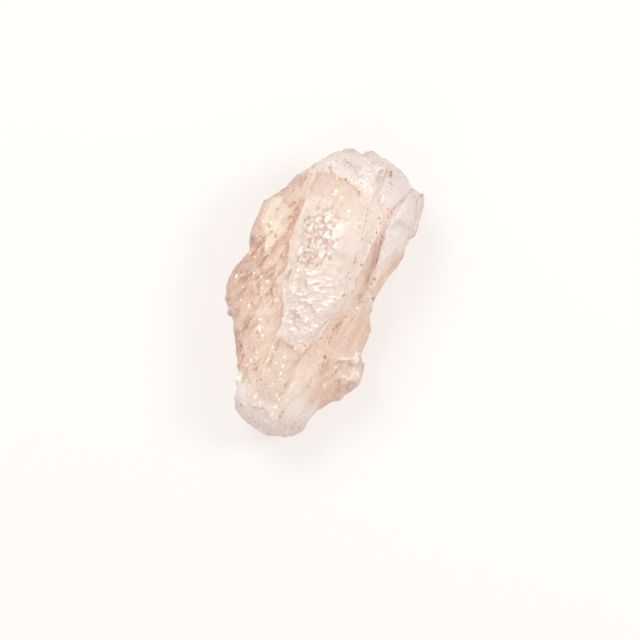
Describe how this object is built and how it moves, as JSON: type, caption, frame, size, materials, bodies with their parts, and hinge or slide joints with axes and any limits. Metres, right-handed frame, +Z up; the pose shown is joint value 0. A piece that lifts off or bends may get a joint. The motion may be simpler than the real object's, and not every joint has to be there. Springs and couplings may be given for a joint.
{
  "type": "rough morganite crystal",
  "caption": "Rough, see-through peach morganite crystal: a broken, ridged prism with chipped flanks and a raised middle slab, lying on its flat side.",
  "frame": {"origin": "on the surface the crystal lies on, under the middle of its outline", "axes": "+Y along the crystal from its pale foot to its broken top, +X across it, +Z up"},
  "size_m": [0.0226, 0.0418, 0.0182],
  "materials": {
    "morganite": "rough broken beryl, peach and see-through, with paler crinkled patches"
  },
  "bodies": {
    "root": {"morganite_crystal": "morganite"}
  },
  "joints": []
}
